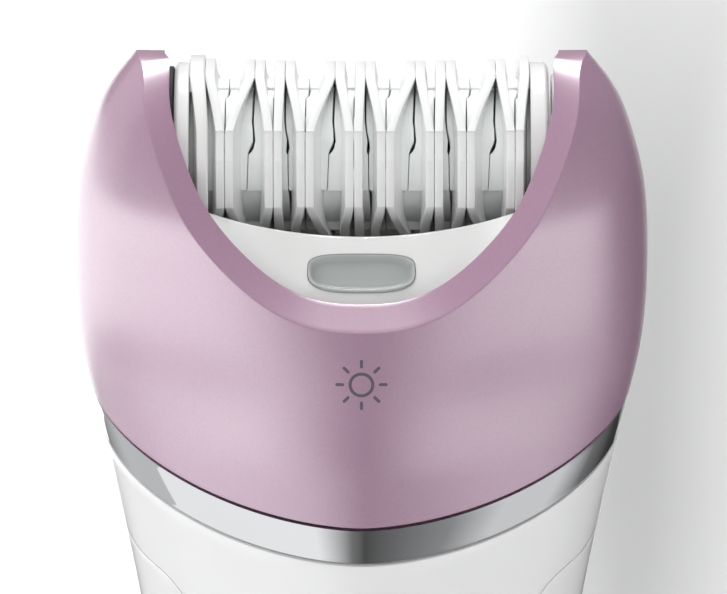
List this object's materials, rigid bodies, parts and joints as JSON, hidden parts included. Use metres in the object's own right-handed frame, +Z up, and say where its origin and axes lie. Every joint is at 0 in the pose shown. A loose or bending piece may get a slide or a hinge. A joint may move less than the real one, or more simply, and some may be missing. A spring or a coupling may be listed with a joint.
{
  "type": "epilator",
  "caption": "Cordless epilator with a tapered white handle, a lift-off lilac head cut by a U-shaped notch, and a geared tweezer barrel across the notch.",
  "frame": {"origin": "middle of the flat base at the bottom of the handle", "axes": "+Z up the handle to the head, -Y towards the front with the light, X along the tweezer barrel"},
  "size_m": [0.06, 0.0401, 0.1742],
  "materials": {
    "handle_white": "glossy moulded white",
    "gloss_white": "glossy moulded white",
    "lilac_cover": "pearl lilac lacquer, satin",
    "chrome_ring": "mirror plated",
    "tweezer_white": "smooth white ceramic-filled tips",
    "clear_lens": "frosted clear plastic",
    "led_body": "pale resin",
    "base_grey": "fine-textured grey",
    "button_grey": "satin grey",
    "frame_grey": "plain moulded grey",
    "socket_black": "plain moulded black",
    "seal_rubber": "soft rubber",
    "board_green": "solder-masked board",
    "cell_sleeve": "shrink sleeve",
    "gear_acetal": "natural acetal",
    "steel": "plain steel"
  },
  "bodies": {
    "handle": {"base_cap": "base_grey", "battery_cell": "cell_sleeve", "button_seal": "seal_rubber", "button_switch": "steel", "charge_led": "led_body", "charge_lens": "clear_lens", "charging_socket": "socket_black", "chassis": "frame_grey", "chrome_ring": "chrome_ring", "circuit_board": "board_green", "front_shell": "handle_white", "housing_screw_1": "steel", "housing_screw_2": "steel", "housing_screw_3": "steel", "housing_screw_4": "steel", "motor_can": "steel", "rear_shell": "handle_white", "release_spring": "steel", "shaft_seal": "seal_rubber", "socket_pin_left": "steel", "socket_pin_right": "steel", "top_deck": "frame_grey"},
    "power_button": {"power_button": "handle_white"},
    "release_button": {"release_button": "button_grey"},
    "motor_drive": {"motor_rotor": "steel", "motor_dog": "gear_acetal"},
    "head": {"head_cover": "lilac_cover", "front_collar": "gloss_white", "rear_collar": "gloss_white", "light_window": "clear_lens", "light_led": "led_body", "head_carrier": "frame_grey", "bearing_left": "steel", "bearing_right": "steel", "idler_pin": "steel"},
    "barrel": {"barrel_shaft": "steel", "barrel_core": "frame_grey", "end_cap_left": "gloss_white", "end_cap_right": "gloss_white", "thrust_ring": "gloss_white", "barrel_gear": "gear_acetal", "tweezer_disc_2": "tweezer_white", "tweezer_disc_4": "tweezer_white", "tweezer_disc_6": "tweezer_white", "tweezer_disc_8": "tweezer_white", "tweezer_disc_10": "tweezer_white", "tweezer_disc_12": "tweezer_white", "tweezer_disc_14": "tweezer_white", "tweezer_disc_16": "tweezer_white"},
    "idler": {"idler_gear": "gear_acetal"},
    "cross_drive": {"cross_gear": "gear_acetal"},
    "spindle": {"drive_spindle": "gear_acetal"},
    "tweezer_1": {"tweezer_disc_1": "tweezer_white"},
    "tweezer_2": {"tweezer_disc_3": "tweezer_white"},
    "tweezer_3": {"tweezer_disc_5": "tweezer_white"},
    "tweezer_4": {"tweezer_disc_7": "tweezer_white"},
    "tweezer_5": {"tweezer_disc_9": "tweezer_white"},
    "tweezer_6": {"tweezer_disc_11": "tweezer_white"},
    "tweezer_7": {"tweezer_disc_13": "tweezer_white"},
    "tweezer_8": {"tweezer_disc_15": "tweezer_white"}
  },
  "joints": [
    {"name": "power_button_press", "type": "slide", "parent": "handle", "child": "power_button", "axis": [0, 1, 0], "range_m": [0, 0.0006], "stiffness_N_per_m": 1500},
    {"name": "release_button_press", "type": "slide", "parent": "handle", "child": "release_button", "axis": [0, -1, 0], "range_m": [0, 0.001], "stiffness_N_per_m": 1500, "deforming": ["release_spring"]},
    {"name": "motor_spin", "type": "hinge", "parent": "handle", "child": "motor_drive", "pos_m": [0, 0, 0.1], "axis": [0, 0, 1], "continuous": true},
    {"name": "head_lift_off", "type": "slide", "parent": "handle", "child": "head", "axis": [0, 0, 1], "range_m": [0, 0.03]},
    {"name": "barrel_spin", "type": "hinge", "parent": "head", "child": "barrel", "pos_m": [0, 0, 0.163], "axis": [1, 0, 0], "continuous": true},
    {"name": "idler_spin", "type": "hinge", "parent": "head", "child": "idler", "pos_m": [-0.0209, 0, 0.151], "axis": [1, 0, 0], "continuous": true},
    {"name": "cross_spin", "type": "hinge", "parent": "head", "child": "cross_drive", "pos_m": [-0.012, 0, 0.1425], "axis": [1, 0, 0], "continuous": true},
    {"name": "spindle_spin", "type": "hinge", "parent": "head", "child": "spindle", "pos_m": [0, 0, 0.135], "axis": [0, 0, 1], "continuous": true},
    {"name": "tweezer_1_rock", "type": "hinge", "parent": "barrel", "child": "tweezer_1", "pos_m": [-0.01525, 0, 0.163], "axis": [0, 0.6428, -0.766], "range_deg": [0, 2.5], "stiffness_Nm_per_rad": 0.4},
    {"name": "tweezer_2_rock", "type": "hinge", "parent": "barrel", "child": "tweezer_2", "pos_m": [-0.01013, 0, 0.163], "axis": [0, 0.6428, -0.766], "range_deg": [0, 2.5], "stiffness_Nm_per_rad": 0.4},
    {"name": "tweezer_3_rock", "type": "hinge", "parent": "barrel", "child": "tweezer_3", "pos_m": [-0.00689, 0, 0.163], "axis": [0, 0.6428, -0.766], "range_deg": [0, 2.5], "stiffness_Nm_per_rad": 0.4},
    {"name": "tweezer_4_rock", "type": "hinge", "parent": "barrel", "child": "tweezer_4", "pos_m": [-0.00177, 0, 0.163], "axis": [0, 0.6428, -0.766], "range_deg": [0, 2.5], "stiffness_Nm_per_rad": 0.4},
    {"name": "tweezer_5_rock", "type": "hinge", "parent": "barrel", "child": "tweezer_5", "pos_m": [0.00147, 0, 0.163], "axis": [0, 0.6428, -0.766], "range_deg": [0, 2.5], "stiffness_Nm_per_rad": 0.4},
    {"name": "tweezer_6_rock", "type": "hinge", "parent": "barrel", "child": "tweezer_6", "pos_m": [0.0066, 0, 0.163], "axis": [0, 0.6428, -0.766], "range_deg": [0, 2.5], "stiffness_Nm_per_rad": 0.4},
    {"name": "tweezer_7_rock", "type": "hinge", "parent": "barrel", "child": "tweezer_7", "pos_m": [0.00983, 0, 0.163], "axis": [0, 0.6428, -0.766], "range_deg": [0, 2.5], "stiffness_Nm_per_rad": 0.4},
    {"name": "tweezer_8_rock", "type": "hinge", "parent": "barrel", "child": "tweezer_8", "pos_m": [0.01495, 0, 0.163], "axis": [0, 0.6428, -0.766], "range_deg": [0, 2.5], "stiffness_Nm_per_rad": 0.4}
  ],
  "couplings": [
    {"joint": "idler_spin", "follows": "barrel_spin", "ratio": -1.4},
    {"joint": "cross_spin", "follows": "barrel_spin", "ratio": 2},
    {"joint": "spindle_spin", "follows": "barrel_spin", "ratio": -4},
    {"joint": "motor_spin", "follows": "barrel_spin", "ratio": -4},
    {"joint": "tweezer_2_rock", "follows": "tweezer_1_rock", "ratio": 1},
    {"joint": "tweezer_3_rock", "follows": "tweezer_1_rock", "ratio": 1},
    {"joint": "tweezer_4_rock", "follows": "tweezer_1_rock", "ratio": 1},
    {"joint": "tweezer_5_rock", "follows": "tweezer_1_rock", "ratio": 1},
    {"joint": "tweezer_6_rock", "follows": "tweezer_1_rock", "ratio": 1},
    {"joint": "tweezer_7_rock", "follows": "tweezer_1_rock", "ratio": 1},
    {"joint": "tweezer_8_rock", "follows": "tweezer_1_rock", "ratio": 1}
  ]
}
